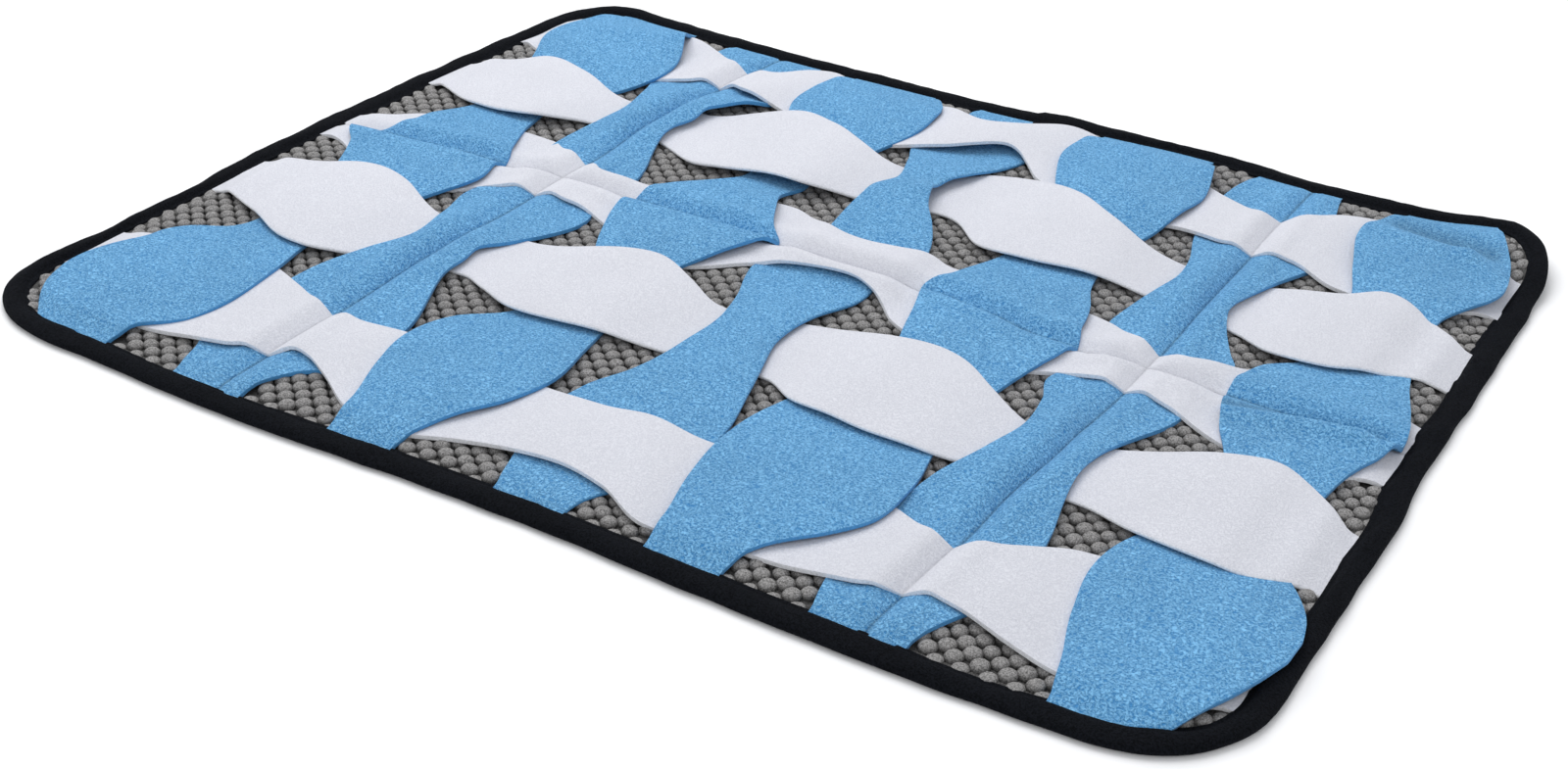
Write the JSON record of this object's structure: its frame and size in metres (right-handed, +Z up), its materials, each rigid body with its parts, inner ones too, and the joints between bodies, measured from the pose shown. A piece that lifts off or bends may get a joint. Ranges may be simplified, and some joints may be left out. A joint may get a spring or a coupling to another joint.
{
  "type": "snuffle mat",
  "caption": "Flat foraging mat for a pet: wave-cut fleece strips woven over and under each other on a bobbled plush base with a bound edge, making loose pockets that hide treats.",
  "frame": {"origin": "middle of the mat's outline box, on the surface it lies on", "axes": "+X along the length of the mat, the way the white strips run; +Y across it towards the lapped join of the binding; +Z up"},
  "size_m": [0.701, 0.5604, 0.0297],
  "materials": {
    "grey_plush": "bobbled chenille plush, mid grey",
    "black_fleece": "short matt black fleece",
    "blue_fleece": "soft curly fleece, sky blue",
    "white_fleece": "smooth short fleece, cool white"
  },
  "bodies": {
    "root": {"base_cloth": "grey_plush", "binding": "black_fleece", "blue_strip_1": "blue_fleece", "blue_strip_2": "blue_fleece", "blue_strip_3": "blue_fleece", "blue_strip_4": "blue_fleece", "blue_strip_5": "blue_fleece", "blue_strip_6": "blue_fleece", "blue_strip_7": "blue_fleece", "white_strip_1": "white_fleece", "white_strip_2": "white_fleece", "white_strip_3": "white_fleece", "white_strip_4": "white_fleece", "white_strip_5": "white_fleece"}
  },
  "joints": []
}
